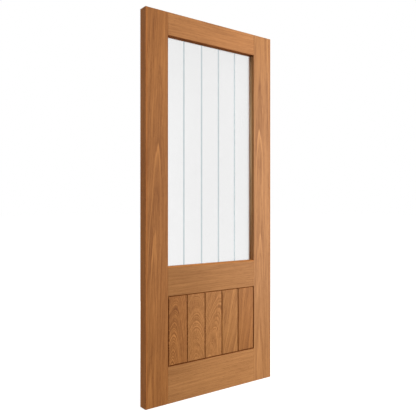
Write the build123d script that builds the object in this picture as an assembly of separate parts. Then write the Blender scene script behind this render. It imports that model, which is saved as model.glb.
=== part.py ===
from build123d import *
import os

# Glazed interior door leaf, a framed oak leaf with one tall light over a boarded panel.
# X runs across the leaf from the hanging edge, Y from the front face to the back, Z up from its foot.

# Leaf
LEAF_WIDTH = 838.0
LEAF_HEIGHT = 1981.0
LEAF_THICKNESS = 54.0

# Frame members, as wide as they show on the face
STILE_WIDTH = 130.0
TOP_RAIL_HEIGHT = 117.0
LOCK_RAIL_HEIGHT = 149.0
BOTTOM_RAIL_HEIGHT = 187.0
PANEL_HEIGHT = 357.0

# Solid strips that edge the stiles
LIPPING_THICKNESS = 10.0
LIPPING_ROUND = 1.5

# Stub tenons that join the rails to the stiles
TENON_THICKNESS = 18.0
TENON_LENGTH = 50.0
TENON_SHOULDER = 8.0
TENON_END_SHOULDER = 20.0
TENON_END_GAP = 1.0
GLUE_LINE = 0.1

# Boarded panel, with boards on both faces of a core that is held in grooves of the frame
BOARD_COUNT = 5
BOARD_THICKNESS = 18.0
CORE_TONGUE = 10.0
CORE_END_GAP = 1.0
VEE_DEPTH = 4.0
QUIRK_WIDTH = 3.0
TONGUE_COVER = 2.5
TONGUE_THICKNESS = 5.0
TONGUE_LENGTH = 6.0
TONGUE_END_GAP = 0.5

# Light, glazed from the back against a lip of the frame
LIP_DEPTH = 30.0
REBATE_WIDTH = 12.0
GLASS_THICKNESS = 6.0
GLASS_EDGE_GAP = 3.0
BEAD_SPLAY = 6.0
BEAD_SQUARE = 3.0

# Levels and limits that follow from the sizes
leaf_y = (-LEAF_THICKNESS / 2, LEAF_THICKNESS / 2)
leaf_z = (0.0, LEAF_HEIGHT)
front_y, back_y = leaf_y
opening_x = (STILE_WIDTH, LEAF_WIDTH - STILE_WIDTH)
panel_z = (BOTTOM_RAIL_HEIGHT, BOTTOM_RAIL_HEIGHT + PANEL_HEIGHT)
light_z = (panel_z[1] + LOCK_RAIL_HEIGHT, LEAF_HEIGHT - TOP_RAIL_HEIGHT)
mirror_plane = Plane.YZ.offset(LEAF_WIDTH / 2)

core_y = (front_y + BOARD_THICKNESS, back_y - BOARD_THICKNESS)
groove_y = (core_y[0] - GLUE_LINE, core_y[1] + GLUE_LINE)
groove_depth = CORE_TONGUE + CORE_END_GAP
glass_y = (front_y + LIP_DEPTH, front_y + LIP_DEPTH + GLASS_THICKNESS)
rebate_y = (glass_y[0], back_y)
tenon_y = (-TENON_THICKNESS / 2, TENON_THICKNESS / 2)


def grown(limits, amount):
    """The two limits moved apart by the same amount at each end."""
    low, high = limits
    return (low - amount, high + amount)


def block(x, y, z):
    """A square-edged length of timber between the limits given for each axis."""
    size = [high - low for low, high in (x, y, z)]
    return Pos(x[0], y[0], z[0]) * Box(*size, align=(Align.MIN, Align.MIN, Align.MIN))


# Each rail's tenon stands clear of the groove, the rebate and the end of the leaf beside it
beside_groove = groove_depth + TENON_SHOULDER
beside_rebate = REBATE_WIDTH + TENON_SHOULDER
top_tenon_z = (light_z[1] + beside_rebate, LEAF_HEIGHT - TENON_END_SHOULDER)
lock_tenon_z = (panel_z[1] + beside_groove, light_z[0] - beside_rebate)
bottom_tenon_z = (TENON_END_SHOULDER, panel_z[0] - beside_groove)


def make_left_stile():
    """Stile with three mortises, a stopped groove for the panel and a stopped rebate for the glass."""
    inner = STILE_WIDTH
    stile = block((LIPPING_THICKNESS, inner), leaf_y, leaf_z)
    stile -= block((inner - groove_depth, inner), groove_y, grown(panel_z, groove_depth))
    stile -= block((inner - REBATE_WIDTH, inner), rebate_y, grown(light_z, REBATE_WIDTH))
    mortise_end = inner - TENON_LENGTH - TENON_END_GAP
    for tenon_z in (top_tenon_z, lock_tenon_z, bottom_tenon_z):
        stile -= block((mortise_end, inner), grown(tenon_y, GLUE_LINE), grown(tenon_z, GLUE_LINE))
    return stile


def make_rail(rail_z, tenon_z):
    """Rail between the stiles with a stub tenon on each end."""
    tenon = block(grown(opening_x, TENON_LENGTH), tenon_y, tenon_z)
    return block(opening_x, leaf_y, rail_z) + tenon


def make_top_rail():
    """Top rail, rebated underneath for the glass."""
    rail = make_rail((light_z[1], LEAF_HEIGHT), top_tenon_z)
    return rail - block(opening_x, rebate_y, (light_z[1], light_z[1] + REBATE_WIDTH))


def make_lock_rail():
    """Middle rail, rebated on top for the glass and grooved underneath for the panel."""
    rail = make_rail((panel_z[1], light_z[0]), lock_tenon_z)
    rail -= block(opening_x, rebate_y, (light_z[0] - REBATE_WIDTH, light_z[0]))
    return rail - block(opening_x, groove_y, (panel_z[1], panel_z[1] + groove_depth))


def make_bottom_rail():
    """Bottom rail, grooved on top for the panel."""
    rail = make_rail((0.0, panel_z[0]), bottom_tenon_z)
    return rail - block(opening_x, groove_y, (panel_z[0] - groove_depth, panel_z[0]))


def make_left_lipping():
    """Solid edge strip with its two outer corners eased."""
    strip = block((0.0, LIPPING_THICKNESS), leaf_y, leaf_z)
    outer_corners = strip.faces().sort_by(Axis.X)[0].edges().filter_by(Axis.Z)
    return fillet(outer_corners, LIPPING_ROUND)


def make_panel_core():
    """Flat core whose edges are the tongues that sit in the grooves of the frame."""
    return block(grown(opening_x, CORE_TONGUE), core_y, grown(panel_z, CORE_TONGUE))


def left_board_edge(is_outer):
    """Left edge of a board section, from the face inwards, as points of width and depth."""
    if is_outer:
        return [
            (VEE_DEPTH, 0.0),
            (0.0, VEE_DEPTH),
            (-QUIRK_WIDTH, VEE_DEPTH),
            (-QUIRK_WIDTH, BOARD_THICKNESS),
        ]
    near = VEE_DEPTH + TONGUE_COVER - GLUE_LINE
    far = VEE_DEPTH + TONGUE_COVER + TONGUE_THICKNESS + GLUE_LINE
    groove_end = TONGUE_LENGTH + TONGUE_END_GAP
    return [
        (VEE_DEPTH, 0.0),
        (0.0, VEE_DEPTH),
        (0.0, near),
        (groove_end, near),
        (groove_end, far),
        (0.0, far),
        (0.0, BOARD_THICKNESS),
    ]


def right_board_edge(is_outer, width):
    """Right edge of a board section, from the face inwards, as points of width and depth."""
    if is_outer:
        return [(width - across, depth) for across, depth in left_board_edge(True)]
    near = VEE_DEPTH + TONGUE_COVER
    far = near + TONGUE_THICKNESS
    return [
        (width - VEE_DEPTH, 0.0),
        (width, VEE_DEPTH),
        (width, near),
        (width + TONGUE_LENGTH, near),
        (width + TONGUE_LENGTH, far),
        (width, far),
        (width, BOARD_THICKNESS),
    ]


def end_chamfer():
    """Waste cut from both ends of the boards: a flat quirk beside the rail, then a slope up to the face."""
    bottom, top = panel_z
    quirk_end = bottom + QUIRK_WIDTH
    slope_end = quirk_end + VEE_DEPTH
    floor_y = front_y + VEE_DEPTH
    outline = Polyline(
        (0.0, front_y, bottom),
        (0.0, floor_y, bottom),
        (0.0, floor_y, quirk_end),
        (0.0, front_y, slope_end),
        close=True,
    )
    low = Pos(opening_x[0], 0.0, 0.0) * extrude(make_face(outline), opening_x[1] - opening_x[0], (1, 0, 0))
    high = mirror(low, Plane.XY.offset((bottom + top) / 2))
    return low + high


def make_front_boards():
    """Tongued and grooved boards with a vee at each joint, side by side across the panel."""
    first_x = opening_x[0] + QUIRK_WIDTH
    last_x = opening_x[1] - QUIRK_WIDTH
    width = (last_x - first_x) / BOARD_COUNT
    waste = end_chamfer()
    boards = []
    for index in range(BOARD_COUNT):
        left = left_board_edge(index == 0)
        right = right_board_edge(index == BOARD_COUNT - 1, width)
        section = Polyline(*left, *reversed(right), close=True)
        board = extrude(make_face(section), PANEL_HEIGHT, (0, 0, 1))
        boards.append(Pos(first_x + index * width, front_y, panel_z[0]) * board - waste)
    return boards


def make_glass():
    """Sheet of glass with a gap round its edges in the rebates."""
    cover = REBATE_WIDTH - GLASS_EDGE_GAP
    return block(grown(opening_x, cover), glass_y, grown(light_z, cover))


def make_beads():
    """Four mitred beads that hold the glass, square beside it, then splayed back to the face of the leaf."""
    seat_y = glass_y[1]
    bead_depth = back_y - seat_y

    def corners(x, z):
        return [
            Vector(x[0], seat_y, z[0]),
            Vector(x[1], seat_y, z[0]),
            Vector(x[1], seat_y, z[1]),
            Vector(x[0], seat_y, z[1]),
        ]

    outer = corners(grown(opening_x, REBATE_WIDTH), grown(light_z, REBATE_WIDTH))
    inner = corners(opening_x, light_z)
    beads = {}
    for index, name in enumerate(("bottom_bead", "right_bead", "top_bead", "left_bead")):
        after = (index + 1) % len(outer)
        outline = Polyline(outer[index], outer[after], inner[after], inner[index], close=True)
        bead = extrude(make_face(outline), bead_depth, (0, 1, 0))
        middle = (inner[index] + inner[after]) / 2 + Vector(0, bead_depth, 0)
        back_face = bead.faces().sort_by(Axis.Y)[-1]
        sight_edge = back_face.edges().sort_by_distance(middle)[0]
        beads[name] = chamfer(sight_edge, BEAD_SPLAY, bead_depth - BEAD_SQUARE, reference=back_face)
    return beads


left_stile = make_left_stile()
left_lipping = make_left_lipping()
pieces = {
    "left_stile": left_stile,
    "right_stile": mirror(left_stile, mirror_plane),
    "top_rail": make_top_rail(),
    "lock_rail": make_lock_rail(),
    "bottom_rail": make_bottom_rail(),
    "left_edge_lipping": left_lipping,
    "right_edge_lipping": mirror(left_lipping, mirror_plane),
    "panel_core": make_panel_core(),
    "glass_pane": make_glass(),
}
for number, board in enumerate(make_front_boards(), start=1):
    pieces[f"front_board_{number}"] = board
    pieces[f"back_board_{number}"] = mirror(board, Plane.XZ)
pieces.update(make_beads())

os.makedirs("parts", exist_ok=True)
for name, piece in pieces.items():
    export_step(piece, f"parts/{name}.step")
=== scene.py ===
import math
import bpy
import numpy as np
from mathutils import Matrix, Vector


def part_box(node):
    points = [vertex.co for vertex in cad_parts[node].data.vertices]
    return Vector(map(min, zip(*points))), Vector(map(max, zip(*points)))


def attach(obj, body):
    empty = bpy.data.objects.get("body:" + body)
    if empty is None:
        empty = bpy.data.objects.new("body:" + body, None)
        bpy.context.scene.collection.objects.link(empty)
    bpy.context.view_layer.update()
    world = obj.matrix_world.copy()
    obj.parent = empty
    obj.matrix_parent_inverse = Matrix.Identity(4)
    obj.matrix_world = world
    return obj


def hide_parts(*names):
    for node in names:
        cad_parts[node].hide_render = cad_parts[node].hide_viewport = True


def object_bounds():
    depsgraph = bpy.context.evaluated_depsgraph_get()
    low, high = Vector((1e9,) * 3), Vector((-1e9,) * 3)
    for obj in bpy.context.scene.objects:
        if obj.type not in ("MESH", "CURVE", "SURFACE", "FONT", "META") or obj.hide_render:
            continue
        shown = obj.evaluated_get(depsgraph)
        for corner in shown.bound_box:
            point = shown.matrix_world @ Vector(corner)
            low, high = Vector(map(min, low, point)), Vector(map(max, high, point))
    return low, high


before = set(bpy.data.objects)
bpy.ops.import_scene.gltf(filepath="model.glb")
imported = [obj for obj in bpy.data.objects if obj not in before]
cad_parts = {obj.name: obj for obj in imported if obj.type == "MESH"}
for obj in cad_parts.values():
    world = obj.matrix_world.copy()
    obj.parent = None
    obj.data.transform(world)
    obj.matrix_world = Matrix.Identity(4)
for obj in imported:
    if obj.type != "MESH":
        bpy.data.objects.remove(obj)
cad_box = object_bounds()

# Stiles: the two uprights of the frame, straight-grained oak with a long flame on the face.
# Each is one length of timber, grooved for the panel, rebated for the glass and mortised for the rails.
# Its corners are eased by hand with fine paper before the finish goes on.
leaf_low, leaf_high = (np.array(corner) for corner in cad_box)


def colour(red, green, blue):
    """A colour given as it looks on screen, turned into the light values that a shader takes: a straight
    run at the dark end, and above it a power of 2.4."""
    shown = np.array([red, green, blue]) / 255.0
    light = np.where(shown <= 0.04045, shown / 12.92, ((shown + 0.055) / 1.055) ** 2.4)
    return (*light.tolist(), 1.0)


def shaded(tint, share):
    """A colour as it looks on screen, with each channel made deeper or paler by a share."""
    return colour(*(np.array(tint) * np.array(share)))


def grey(level):
    """A grey of that light value."""
    return (level, level, level, 1.0)


def new_material(name):
    """A new material, with its node tree and its one shader."""
    material = bpy.data.materials.new(name)
    material.use_nodes = True
    tree = material.node_tree
    return material, tree, tree.nodes["Principled BSDF"]


def set_sockets(tree, node, sockets):
    """Gives each socket of a node its value, or joins it to the output given for it."""
    for socket, value in sockets.items():
        if isinstance(value, bpy.types.NodeSocket):
            tree.links.new(value, node.inputs[socket])
        else:
            node.inputs[socket].default_value = value


def add_node(tree, kind, sockets=None, **settings):
    """One shader node, with its settings and its sockets."""
    made = tree.nodes.new(kind)
    for setting, value in settings.items():
        setattr(made, setting, value)
    set_sockets(tree, made, sockets or {})
    return made


def sum_of(tree, operation, first, second=0.0):
    """The result of one sum on numbers or outputs."""
    return add_node(tree, "ShaderNodeMath", {0: first, 1: second}, operation=operation).outputs[0]


def vector_sum(tree, operation, first, second=(0.0, 0.0, 0.0)):
    """The result of one sum on vectors or outputs, each channel by itself."""
    return add_node(tree, "ShaderNodeVectorMath", {0: first, 1: second}, operation=operation).outputs[0]


def axes_of(tree, place):
    """The three coordinates of a place, by name."""
    return add_node(tree, "ShaderNodeSeparateXYZ", {0: place}).outputs


def ranged(tree, level, results, limits=(0.0, 1.0)):
    """A level between two limits carried evenly to a result between two others, and held at their ends."""
    low, high = limits
    at_low, at_high = results
    sockets = {"Value": level, "From Min": low, "From Max": high, "To Min": at_low, "To Max": at_high}
    return add_node(tree, "ShaderNodeMapRange", sockets).outputs[0]


def falling(tree, level, limits):
    """1 up to the first limit, falling to 0 at the second."""
    return ranged(tree, level, (1.0, 0.0), limits)


def ramp_of(tree, level, stops):
    """A run of colours or greys over a level from 0 to 1."""
    made = add_node(tree, "ShaderNodeValToRGB", {0: level})
    elements = made.color_ramp.elements
    for at, _ in stops[1:-1]:
        elements.new(at)
    for element, (at, tint) in zip(elements, stops):
        element.position = at
        element.color = tint
    return made.outputs[0]


# Marks of the oak, each as patches to the metre across the grain, patches to the metre along it, and detail
BENDS = (9.0, 1.6, 3.0)
RING_PATCHES = (26.0, 6.0, 2.0)
CLOUDS = (7.0, 2.2, 2.0)
STREAKS = (170.0, 3.4, 2.0)
FIBRES = (650.0, 9.0, 2.0)
PORES = (1400.0, 36.0, 1.0)
NOISE_MEAN = 0.5


def stretched(tree, place, across, along):
    """The timber's own coordinates, scaled across the grain and along it."""
    return vector_sum(tree, "MULTIPLY", place, (across, across, along))


def noise_node(tree, place, mark):
    """Noise from 0 to 1 whose patches are drawn out along the grain."""
    across, along, detail = mark
    scaled = stretched(tree, place, across, along)
    return add_node(tree, "ShaderNodeTexNoise", {"Vector": scaled, "Scale": 1.0, "Detail": detail})


def noise(tree, place, mark):
    """The level of such noise, moved to lie about 0."""
    return sum_of(tree, "SUBTRACT", noise_node(tree, place, mark).outputs["Fac"], NOISE_MEAN)


GRAIN_WANDER = 0.016


def wandering(tree, timber):
    """The timber's own coordinates, pushed across the grain by slow noise about 0."""
    bends = noise_node(tree, timber, BENDS).outputs["Color"]
    push = vector_sum(tree, "SUBTRACT", bends, (NOISE_MEAN, NOISE_MEAN, NOISE_MEAN))
    shift = vector_sum(tree, "MULTIPLY", push, (GRAIN_WANDER, GRAIN_WANDER, 0.0))
    return vector_sum(tree, "ADD", timber, shift)


RING_TONES = [(0.0, 0.3), (0.18, 0.0), (0.5, 0.6), (0.8, 1.0), (1.0, 0.3)]
RING_MEAN = 0.55
UNEVEN_WAVES = 0.35
UNEVEN_DETAIL = 2.0
UNEVEN_RINGS = 3.0
PATCH_WEIGHT = 3.0
YEAR_WEIGHT = 0.4


def growth_rings(tree, timber, bent, ring):
    """Growth rings are tubes round the tree's heart line. The distance from that line, divided by the width
    of a ring and made uneven by noise, counts them. The fraction of the count runs through each ring from
    its dark porous start to paler late wood. Its whole number picks how well that year shows, and so do
    patches of noise. Gives the rings' tone, about 0, and the late wood, from 0 to 1."""
    flat = stretched(tree, bent, 1.0, 0.0)
    radius = add_node(tree, "ShaderNodeVectorMath", {0: flat}, operation="LENGTH").outputs["Value"]
    waves = {"W": radius, "Scale": UNEVEN_WAVES / ring, "Detail": UNEVEN_DETAIL}
    uneven = add_node(tree, "ShaderNodeTexNoise", waves, noise_dimensions="1D").outputs["Fac"]
    gained = sum_of(tree, "MULTIPLY", uneven, UNEVEN_RINGS)
    count = sum_of(tree, "ADD", sum_of(tree, "DIVIDE", radius, ring), gained)
    through = sum_of(tree, "FRACT", count)
    late_wood = ramp_of(tree, through, [(at, grey(level)) for at, level in RING_TONES])
    whole = sum_of(tree, "FLOOR", count)
    year = add_node(tree, "ShaderNodeTexWhiteNoise", {"W": whole}, noise_dimensions="1D").outputs["Value"]
    patches = sum_of(tree, "MULTIPLY", noise(tree, timber, RING_PATCHES), PATCH_WEIGHT)
    shows = sum_of(tree, "ADD", patches, year)
    streaks = sum_of(tree, "MULTIPLY", sum_of(tree, "SUBTRACT", late_wood, RING_MEAN), shows)
    years = sum_of(tree, "MULTIPLY", sum_of(tree, "SUBTRACT", year, NOISE_MEAN), YEAR_WEIGHT)
    return sum_of(tree, "ADD", streaks, years), late_wood


PORE_EDGES = (0.06, 0.15)
EARLY_PORES = 0.7
PORES_ALL_OVER = 0.2


def pores_in(tree, bent, late_wood):
    """Open pores, from 0 to 1: the peaks of fine noise, some all over and more in the early wood."""
    closed_at, open_at = PORE_EDGES
    peaks = ramp_of(tree, noise(tree, bent, PORES), [(closed_at, grey(0.0)), (open_at, grey(1.0))])
    early_wood = sum_of(tree, "SUBTRACT", 1.0, late_wood)
    share = sum_of(tree, "ADD", sum_of(tree, "MULTIPLY", early_wood, EARLY_PORES), PORES_ALL_OVER)
    return sum_of(tree, "MULTIPLY", peaks, share)


UPRIGHT = "upright"
LEVEL = "level"
MIDDLE_TONE = 0.5
CLOUD_WEIGHT = 0.45
STREAK_WEIGHT = 0.75
FIBRE_WEIGHT = 0.6
PORE_WEIGHT = -0.4
DEEP_SHARE = (0.76, 0.70, 0.64)
PALE_SHARE = (1.16, 1.20, 1.26)
ROUGHNESS = (0.60, 0.46)
SHEEN = 0.15
FIBRE_RISE = 0.4
GRAIN_RELIEF = 0.25
GRAIN_DEPTH = 0.0004


def oak(name, grain, heart, lean, ring, tint, figure, painted_light_and_shade=(), sheen=SHEEN):
    """Sawn oak. The tree's heart line passes through a point and leans sideways and inwards off the length
    of the timber, so a sawn face cuts the rings round it into streaks and arches. The tone is the rings,
    with one boldness at the foot of the leaf and another at its head, plus broad clouds, streaks and
    fibres, less the open pores. It runs from a deep shade of the tint to a pale one. Painted light and
    shade: at a level from 0 to 1 that a function works out, the colour takes a share that darkens it as
    painted shade or pales it as a painted highlight, and loses its sheen there."""
    material, tree, shader = new_material(name)
    sideways, inwards = lean
    turn = sideways if grain == UPRIGHT else math.pi / 2 - sideways
    place = add_node(tree, "ShaderNodeTexCoord").outputs["Object"]
    timber = add_node(
        tree,
        "ShaderNodeMapping",
        {"Vector": place, "Location": heart, "Rotation": (-inwards, turn, 0.0)},
        vector_type="TEXTURE",
    ).outputs[0]
    bent = wandering(tree, timber)
    rings, late_wood = growth_rings(tree, timber, bent, ring)
    fibres = noise(tree, bent, FIBRES)
    open_pores = pores_in(tree, bent, late_wood)

    boldness = ranged(tree, axes_of(tree, place)["Z"], figure, (leaf_low[2], leaf_high[2]))
    tone = sum_of(tree, "ADD", sum_of(tree, "MULTIPLY", rings, boldness), MIDDLE_TONE)
    marks = (
        (noise(tree, timber, CLOUDS), CLOUD_WEIGHT),
        (noise(tree, bent, STREAKS), STREAK_WEIGHT),
        (fibres, FIBRE_WEIGHT),
        (open_pores, PORE_WEIGHT),
    )
    for mark, weight in marks:
        tone = sum_of(tree, "ADD", tone, sum_of(tree, "MULTIPLY", mark, weight))
    deep, pale = shaded(tint, DEEP_SHARE), shaded(tint, PALE_SHARE)
    finish = ramp_of(tree, tone, [(0.0, deep), (MIDDLE_TONE, colour(*tint)), (1.0, pale)])
    gleam = sheen
    # Painted light and shade: each level darkens or pales the colour and takes away the sheen.
    for painted_level_at, share in painted_light_and_shade:
        level = painted_level_at(tree, place)
        painted_change = ramp_of(tree, level, [(0.0, grey(1.0)), (1.0, share)])
        finish = vector_sum(tree, "MULTIPLY", finish, painted_change)
        gleam = sum_of(tree, "MULTIPLY", sum_of(tree, "SUBTRACT", 1.0, level), gleam)

    rise = sum_of(tree, "SUBTRACT", sum_of(tree, "MULTIPLY", fibres, FIBRE_RISE), open_pores)
    relief = add_node(
        tree, "ShaderNodeBump", {"Height": rise, "Strength": GRAIN_RELIEF, "Distance": GRAIN_DEPTH}
    )
    set_sockets(
        tree,
        shader,
        {
            "Base Color": finish,
            "Roughness": ranged(tree, tone, ROUGHNESS),
            "Specular IOR Level": gleam,
            "Normal": relief.outputs[0],
        },
    )
    return material


CLOSED_GAP = 1e-5
EASED_CORNER = 0.0008
EASED_STEPS = 2
EASED_ANGLE = math.radians(30)


def dress(node, material):
    """Gives a sawn piece its finish, closes its mesh and eases its corners by a fine round."""
    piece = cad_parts[node]
    piece.data.materials.clear()
    piece.data.materials.append(material)
    closed = piece.modifiers.new("closed", "WELD")
    closed.merge_threshold = CLOSED_GAP
    eased = piece.modifiers.new("eased", "BEVEL")
    eased.width = EASED_CORNER
    eased.segments = EASED_STEPS
    eased.limit_method = "ANGLE"
    eased.angle_limit = EASED_ANGLE


# Painted shade: the share below darkens the colour where shade falls, in the quirk round the panel, in the
# vees of the boards and under the top rail, and the sheen is lost there.
PANEL_SHADE_DEPTH = (0.0, 0.0012)
PAINTED_SHADE_SHARE = (0.55, 0.44, 0.45, 1.0)
panel_low = np.array(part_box("front_board_1")[0])
panel_high = np.array(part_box("front_board_5")[1])


def painted_shade_beside_panel(tree, place):
    """1 at the edge of the panel opening, falling to 0 a little way out from it: the level of painted shade
    where shade falls in the quirk round the panel.
    """
    middle = tuple((panel_low + panel_high) / 2)
    half = tuple((panel_high - panel_low) / 2)
    away = vector_sum(tree, "ABSOLUTE", vector_sum(tree, "SUBTRACT", place, middle))
    outside = axes_of(tree, vector_sum(tree, "SUBTRACT", away, half))
    gap = sum_of(tree, "MAXIMUM", outside["X"], outside["Z"])
    return falling(tree, gap, PANEL_SHADE_DEPTH)


# Painted light: the inner edge of each stile beside the glass is made paler and matt, as if lit by light
# through the glass, most at the middle height of the light.
GLASS_LIGHT_MIDDLE = 1.38
GLASS_LIGHT_REACH = (0.10, 0.62)
GLASS_LIGHT_DEPTH = (0.003, 0.013)
GLASS_LIGHT_SHARE = (2.3, 3.6, 6.0, 1.0)


def painted_light_beside_glass(tree, place):
    """1 beside the glass about the middle height of the light, falling to 0 towards the faces of the leaf
    and towards both ends of the light. It is the level of a painted highlight of light from the glass."""
    axes = axes_of(tree, place)
    glass_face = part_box("glass_pane")[0][1]
    gap = sum_of(tree, "ABSOLUTE", sum_of(tree, "SUBTRACT", axes["Y"], glass_face))
    away = sum_of(tree, "ABSOLUTE", sum_of(tree, "SUBTRACT", axes["Z"], GLASS_LIGHT_MIDDLE))
    return sum_of(tree, "MULTIPLY", falling(tree, gap, GLASS_LIGHT_DEPTH), falling(tree, away, GLASS_LIGHT_REACH))


# The stiles take painted shade at the panel opening and a painted highlight beside the glass.
PANEL_EDGE_SHADE = (painted_shade_beside_panel, PAINTED_SHADE_SHARE)
PAINTED_GLASS_LIGHT = (painted_light_beside_glass, GLASS_LIGHT_SHARE)
left_oak = oak(
    "left_stile_oak",
    UPRIGHT,
    heart=(0.078, 0.0585, 1.54),
    lean=(0.036, 0.014),
    ring=0.0045,
    tint=(172, 111, 58),
    figure=(0.31, 0.85),
    painted_light_and_shade=[PANEL_EDGE_SHADE, PAINTED_GLASS_LIGHT],
)
# The right stile's tint is paler than the left's partly as its own wood and partly as a painted sheen of
# the light that falls on the right.
right_oak = oak(
    "right_stile_oak",
    UPRIGHT,
    heart=(0.753, 0.0696, 1.98),
    lean=(0.000, 0.015),
    ring=0.0048,
    tint=(173, 118, 69),
    figure=(0.25, 0.85),
    painted_light_and_shade=[PANEL_EDGE_SHADE, PAINTED_GLASS_LIGHT],
)
dress("left_stile", left_oak)
dress("right_stile", right_oak)

# Rails: the three cross pieces, oak with its grain running level, square-shouldered against the stiles.
# Stub tenons on their ends are glued into mortises in the stiles.
PLAIN_FIGURE = (0.14, 0.14)
PLAIN_RING = 0.0040
RAIL_LEAN = (0.012, 0.006)
# Painted shade: the underside of the top rail and a thin strip of its face just above are darkened, where
# shade falls under the rail.
UNDERSIDE_SHADE_DEPTH = (0.0, 0.0045)


def painted_shade_under_rail(tree, place):
    """1 on the underside of the top rail and 0 a little way up its face: the level of painted shade under
    the rail.
    """
    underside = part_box("top_rail")[0][2]
    above = sum_of(tree, "SUBTRACT", axes_of(tree, place)["Z"], underside)
    return falling(tree, above, UNDERSIDE_SHADE_DEPTH)


# Painted highlight: the sill of the light and the top of the lock rail's face are made paler and matt,
# where light from above falls.
SILL_HIGHLIGHT_DEPTH = (0.004, 0.008)
SILL_HIGHLIGHT_SHARE = (1.26, 1.20, 1.30, 1.0)


def painted_highlight_on_sill(tree, place):
    """1 on the sill of the light and 0 a little way down its face: the level of a painted highlight where
    light falls on the sill.
    """
    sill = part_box("lock_rail")[1][2]
    below = sum_of(tree, "SUBTRACT", sill, axes_of(tree, place)["Z"])
    return falling(tree, below, SILL_HIGHLIGHT_DEPTH)


RAILS = {
    "top_rail": ((0.3, 0.095, 1.80), (175, 117, 67), [(painted_shade_under_rail, PAINTED_SHADE_SHARE)]),
    "lock_rail": ((0.6, 0.115, 0.50), (168, 113, 62), [PANEL_EDGE_SHADE, (painted_highlight_on_sill, SILL_HIGHLIGHT_SHARE)]),
    "bottom_rail": ((0.2, 0.095, 0.26), (178, 122, 71), [PANEL_EDGE_SHADE]),
}
for node, (heart, tint, painted_light_and_shade) in RAILS.items():
    dress(node, oak(f"{node}_oak", LEVEL, heart, RAIL_LEAN, PLAIN_RING, tint, PLAIN_FIGURE, painted_light_and_shade))

# Edge strips: solid oak lippings glued down the outer edges of the stiles.
# They are straight-grained and their outer corners are rounded.
STRIP_LEAN = (0.003, 0.004)
STRIP_SHEEN = 0.08
STRIPS = {
    "left_edge_lipping": ((-0.12, 0.045, 0.4), (179, 112, 58)),
    "right_edge_lipping": ((0.96, 0.035, 1.4), (167, 110, 61)),
}
for node, (heart, tint) in STRIPS.items():
    strip_oak = oak(
        f"{node}_oak", UPRIGHT, heart, STRIP_LEAN, PLAIN_RING, tint, PLAIN_FIGURE, sheen=STRIP_SHEEN
    )
    dress(node, strip_oak)

# Panel core: a flat oak core that fills the middle of the panel.
# Its edges sit in grooves of the frame, and the boards are glued to both its faces.
CORE_HEART = (0.4, 0.3, 0.2)
CORE_LEAN = (0.0, 0.0)
CORE_TINT = (170, 112, 61)
core_oak = oak("panel_core_oak", LEVEL, CORE_HEART, CORE_LEAN, PLAIN_RING, CORE_TINT, PLAIN_FIGURE)
dress("panel_core", core_oak)

# Panel boards: flat-sawn oak boards, tongued and grooved, with a vee planed at each joint.
# They are glued to the core. Every board comes from another plank, so each has its own arches or
# slanting streaks.
BOARDS = [
    dict(aside=-0.036, behind=0.014, lean=(0.06, 0.20), ring=0.0032, tint=(168, 108, 55), bold=0.86),
    dict(aside=-0.002, behind=0.046, lean=(0.00, 0.24), ring=0.0030, tint=(174, 116, 63), bold=0.76),
    dict(aside=-0.030, behind=0.060, lean=(0.24, 0.14), ring=0.0034, tint=(175, 117, 64), bold=0.74),
    dict(aside=-0.110, behind=0.120, lean=(0.28, 0.03), ring=0.0075, tint=(171, 114, 61), bold=0.60),
    dict(aside=-0.110, behind=0.120, lean=(0.18, 0.03), ring=0.0075, tint=(161, 103, 51), bold=0.64),
]
# Painted shade: each board is darkened towards the bottom of its vees, where shade falls.
VEE_SHADE_DEPTH = (0.0008, 0.0030)


def painted_shade_in_vee(tree, place):
    """0 on the face of a board, rising to 1 towards the bottom of a vee: the level of painted shade in the
    vee.
    """
    from_middle = sum_of(tree, "ABSOLUTE", axes_of(tree, place)["Y"])
    below = sum_of(tree, "SUBTRACT", float(leaf_high[1]), from_middle)
    return ranged(tree, below, (0.0, 1.0), VEE_SHADE_DEPTH)


for side, face, turned in (("front", 0, 1.0), ("back", 1, -1.0)):
    for number, board in enumerate(BOARDS, start=1):
        node = f"{side}_board_{number}"
        corners = np.array(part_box(node))
        sideways, inwards = board["lean"]
        heart = (
            corners[:, 0].mean() + board["aside"],
            corners[face, 1] + turned * board["behind"],
            corners[0, 2],
        )
        board_oak = oak(
            f"{node}_oak",
            UPRIGHT,
            heart,
            lean=(sideways, turned * inwards),
            ring=board["ring"],
            tint=board["tint"],
            figure=(board["bold"], board["bold"]),
            painted_light_and_shade=[(painted_shade_in_vee, PAINTED_SHADE_SHARE)],
        )
        dress(node, board_oak)

# Glass: one sheet of float glass, acid-etched to a soft white all over but for clear upright lines
# that stand in line with the joints of the boards below. It is bedded against the lip of the frame.
LINE_WIDTH = 0.008
glass_low, glass_high = (np.array(corner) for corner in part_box("glass_pane"))
joints = np.array([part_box(f"front_board_{number}")[0][0] for number in range(2, len(BOARDS) + 1)])


def sheet_with_lines(low, high, line_middles, line_width):
    """A flat sheet: its upright rectangular section carried across through the edges of each line, closed
    by a flat face at each end. Gives the points, the faces and whether each face is on a line."""
    edges = np.sort(np.concatenate([line_middles - line_width / 2, line_middles + line_width / 2]))
    across = np.concatenate([[low[0]], edges, [high[0]]])
    section = np.array([[low[1], low[2]], [low[1], high[2]], [high[1], high[2]], [high[1], low[2]]])
    columns, corners = len(across), len(section)
    points = np.empty((columns, corners, 3))
    points[:, :, 0] = across[:, None]
    points[:, :, 1:] = section[None, :, :]
    start = np.arange(columns - 1)[:, None] * corners
    corner = np.arange(corners)
    here = start + corner
    after = start + (corner + 1) % corners
    sides = np.stack([here, here + corners, after + corners, after], axis=-1)
    ends = np.stack([corner, corner[::-1] + (columns - 1) * corners])
    faces = np.concatenate([sides.reshape(-1, corners), ends])
    on_line = np.repeat(np.arange(columns - 1) % 2 == 1, corners)
    return points.reshape(-1, 3), faces, np.concatenate([on_line, [False, False]])


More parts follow.
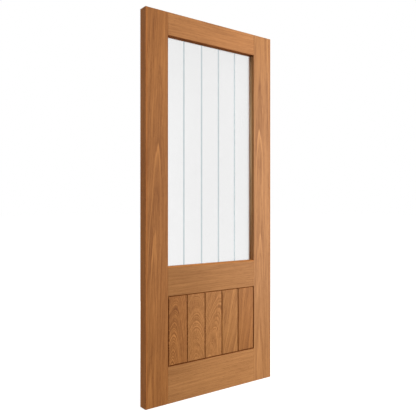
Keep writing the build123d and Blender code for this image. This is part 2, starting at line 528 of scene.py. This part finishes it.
def new_piece(name, points, faces):
    """A new object made of these points and faces."""
    mesh = bpy.data.meshes.new(name)
    mesh.from_pydata(points.tolist(), [], faces.tolist())
    piece = bpy.data.objects.new(name, mesh)
    bpy.context.collection.objects.link(piece)
    return piece


GLASS_INDEX = 1.5
GLASS_DEPTH = 0.0002
CLOUD_DETAIL = 2.0
CLOUD_EDGES = (0.3, 0.7)
DIM_SHARE = 0.97
GLASS_FINISHES = {
    "etched_glass": dict(tint=(237, 237, 237), gloss=0.08, roughness=(0.22, 0.28), relief=0.1, grain=900.0),
    "clear_glass": dict(tint=(193, 203, 207), gloss=0.1, roughness=(0.03, 0.06), relief=0.02, grain=30.0),
}


def glass(name, tint, gloss, roughness, relief, grain):
    """Glass that passes light and blurs it by its roughness. Noise moves its tint, its roughness and its
    surface a little."""
    material, tree, shader = new_material(name)
    place = add_node(tree, "ShaderNodeTexCoord").outputs["Object"]
    sockets = {"Vector": place, "Scale": grain, "Detail": CLOUD_DETAIL}
    cloud = add_node(tree, "ShaderNodeTexNoise", sockets).outputs["Fac"]
    dim_at, full_at = CLOUD_EDGES
    clouded = ramp_of(tree, cloud, [(dim_at, shaded(tint, DIM_SHARE)), (full_at, colour(*tint))])
    bump = add_node(tree, "ShaderNodeBump", {"Height": cloud, "Strength": relief, "Distance": GLASS_DEPTH})
    set_sockets(
        tree,
        shader,
        {
            "Base Color": clouded,
            "Roughness": ranged(tree, cloud, roughness),
            "Normal": bump.outputs[0],
            "Transmission Weight": 1.0,
            "IOR": GLASS_INDEX,
            "Specular Tint": grey(gloss),
        },
    )
    return material


points, faces, on_line = sheet_with_lines(glass_low, glass_high, joints, LINE_WIDTH)
sheet = new_piece("etched_glass", points, faces)
for name, finish in GLASS_FINISHES.items():
    sheet.data.materials.append(glass(name, **finish))
sheet.data.polygons.foreach_set("material_index", on_line.astype(np.int32))
sheet.data.update()
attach(sheet, "root")
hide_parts("glass_pane")

# Beads: four oak beads, mitred at the corners and pinned into the rebates behind the glass.
# Each is square beside the glass and then splayed back to the face of the leaf.
BEAD_HEART = (0.09, 0.08, 0.1)
BEAD_LEAN = (0.003, 0.002)
BEAD_TINT = (172, 114, 64)
BEAD_GRAIN = {"left_bead": UPRIGHT, "right_bead": UPRIGHT, "top_bead": LEVEL, "bottom_bead": LEVEL}
for node, grain in BEAD_GRAIN.items():
    heart = tuple(np.array(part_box(node)[0]) + np.array(BEAD_HEART))
    dress(node, oak(f"{node}_oak", grain, heart, BEAD_LEAN, PLAIN_RING, BEAD_TINT, PLAIN_FIGURE))

# Studio: a plain pale floor under an even white surround, which the camera and the glass see as white.
# One tall soft lamp stands in front to the right, so light falls off towards the left and into the vees.
# A lamp over the front lights the head and the sill of the light, and a third behind lights the back.
SURROUND_LIGHT = 0.72
FLOOR_REACH = 60.0
FLOOR_COUNT = 3
FLOOR_BOUNCE = 0.12
FLOOR_SEEN = 0.40
FLOOR_GLOW = 0.73
SEEING_RAYS = ("Is Camera Ray", "Is Glossy Ray", "Is Transmission Ray")
LAMPS = {
    "front_lamp": dict(place=(2.1, -1.1, 1.15), width=1.2, height=2.4, watts=57.0),
    "back_lamp": dict(place=(0.9, 2.6, 1.3), width=1.6, height=2.4, watts=42.0),
    "top_lamp": dict(place=(0.5, -0.6, 3.6), width=1.6, height=0.8, watts=24.0),
}
leaf_middle = (leaf_low + leaf_high) / 2


def floor_surface(reach, level, count):
    """A flat square grid, so many points a side, round the foot of the leaf at one level."""
    along = np.linspace(-reach, reach, count)
    x, y = np.meshgrid(along, along, indexing="ij")
    points = np.stack([x, y, np.full_like(x, level)], axis=-1).reshape(-1, 3)
    cell = np.arange(count - 1)
    start = (cell[:, None] * count + cell[None, :]).reshape(-1, 1)
    return points, start + np.array([[0, count, count + 1, 1]])


def seen(tree):
    """1 for a ray that the camera, a sheen or the glass sees by, 0 for the rays that light the object."""
    path = add_node(tree, "ShaderNodeLightPath").outputs
    level = 0.0
    for kind in SEEING_RAYS:
        level = sum_of(tree, "MAXIMUM", level, path[kind])
    return level


def soft_lamp(name, place, aim, width, height, watts):
    """A rectangular soft lamp that faces a point."""
    lamp = bpy.data.lights.new(name, "AREA")
    lamp.shape = "RECTANGLE"
    lamp.size = width
    lamp.size_y = height
    lamp.energy = watts
    made = bpy.data.objects.new(name, lamp)
    bpy.context.collection.objects.link(made)
    made.location = place
    made.rotation_euler = (Vector(aim) - Vector(place)).to_track_quat("-Z", "Y").to_euler()
    made.visible_transmission = False


floor_points, floor_faces = floor_surface(FLOOR_REACH, leaf_low[2], FLOOR_COUNT)
floor = new_piece("floor", floor_points, floor_faces)
floor_finish, floor_tree, floor_shader = new_material("floor")
floor_seen = seen(floor_tree)
floor_tint = ramp_of(floor_tree, floor_seen, [(0.0, grey(FLOOR_BOUNCE)), (1.0, grey(FLOOR_SEEN))])
set_sockets(
    floor_tree,
    floor_shader,
    {
        "Base Color": floor_tint,
        "Roughness": 1.0,
        "Specular IOR Level": 0.0,
        "Emission Color": grey(1.0),
        "Emission Strength": sum_of(floor_tree, "MULTIPLY", floor_seen, FLOOR_GLOW),
    },
)
floor.data.materials.append(floor_finish)

surround = bpy.data.worlds.new("surround")
bpy.context.scene.world = surround
surround.use_nodes = True
sky = surround.node_tree
sky_strength = ranged(sky, seen(sky), (SURROUND_LIGHT, 1.0))
set_sockets(sky, sky.nodes["Background"], {"Color": grey(1.0), "Strength": sky_strength})
for name, lamp in LAMPS.items():
    soft_lamp(name, aim=leaf_middle, **lamp)

# Camera: level with the middle of the leaf. It stands where the two upright edges of the front face
# fall on the columns and have the heights that they have in the photograph.
IMAGE_SIDE = 416
LEFT_EDGE_COLUMN, LEFT_EDGE_HEIGHT = 145.6, 404.30
RIGHT_EDGE_COLUMN, RIGHT_EDGE_HEIGHT = 270.39, 337.19
SENSOR = 36.0
leaf_width, _, leaf_height = leaf_high - leaf_low
columns = (np.array([LEFT_EDGE_COLUMN, RIGHT_EDGE_COLUMN]) - IMAGE_SIDE / 2) * leaf_height
heights = np.array([LEFT_EDGE_HEIGHT, RIGHT_EDGE_HEIGHT])
offsets = columns / heights
spread = offsets[1] - offsets[0]
recession = leaf_height / heights[1] - leaf_height / heights[0]
focal = math.sqrt(leaf_width**2 - spread**2) / recession
depths = focal * leaf_height / heights
facing = math.atan2(depths[1] - depths[0], spread)
across = np.array([math.cos(facing), math.sin(facing)])
inwards = np.array([-math.sin(facing), math.cos(facing)])
left_edge = np.array([offsets[0], depths[0]])
lens = bpy.data.cameras.new("camera")
lens.sensor_width = SENSOR
lens.lens = focal * SENSOR / IMAGE_SIDE
camera = bpy.data.objects.new("camera", lens)
bpy.context.collection.objects.link(camera)
camera.location = (
    leaf_low[0] - left_edge @ across,
    leaf_low[1] - left_edge @ inwards,
    leaf_middle[2],
)
camera.rotation_euler = (math.pi / 2, 0.0, -facing)
bpy.context.scene.camera = camera
bpy.context.scene.view_settings.view_transform = "Standard"
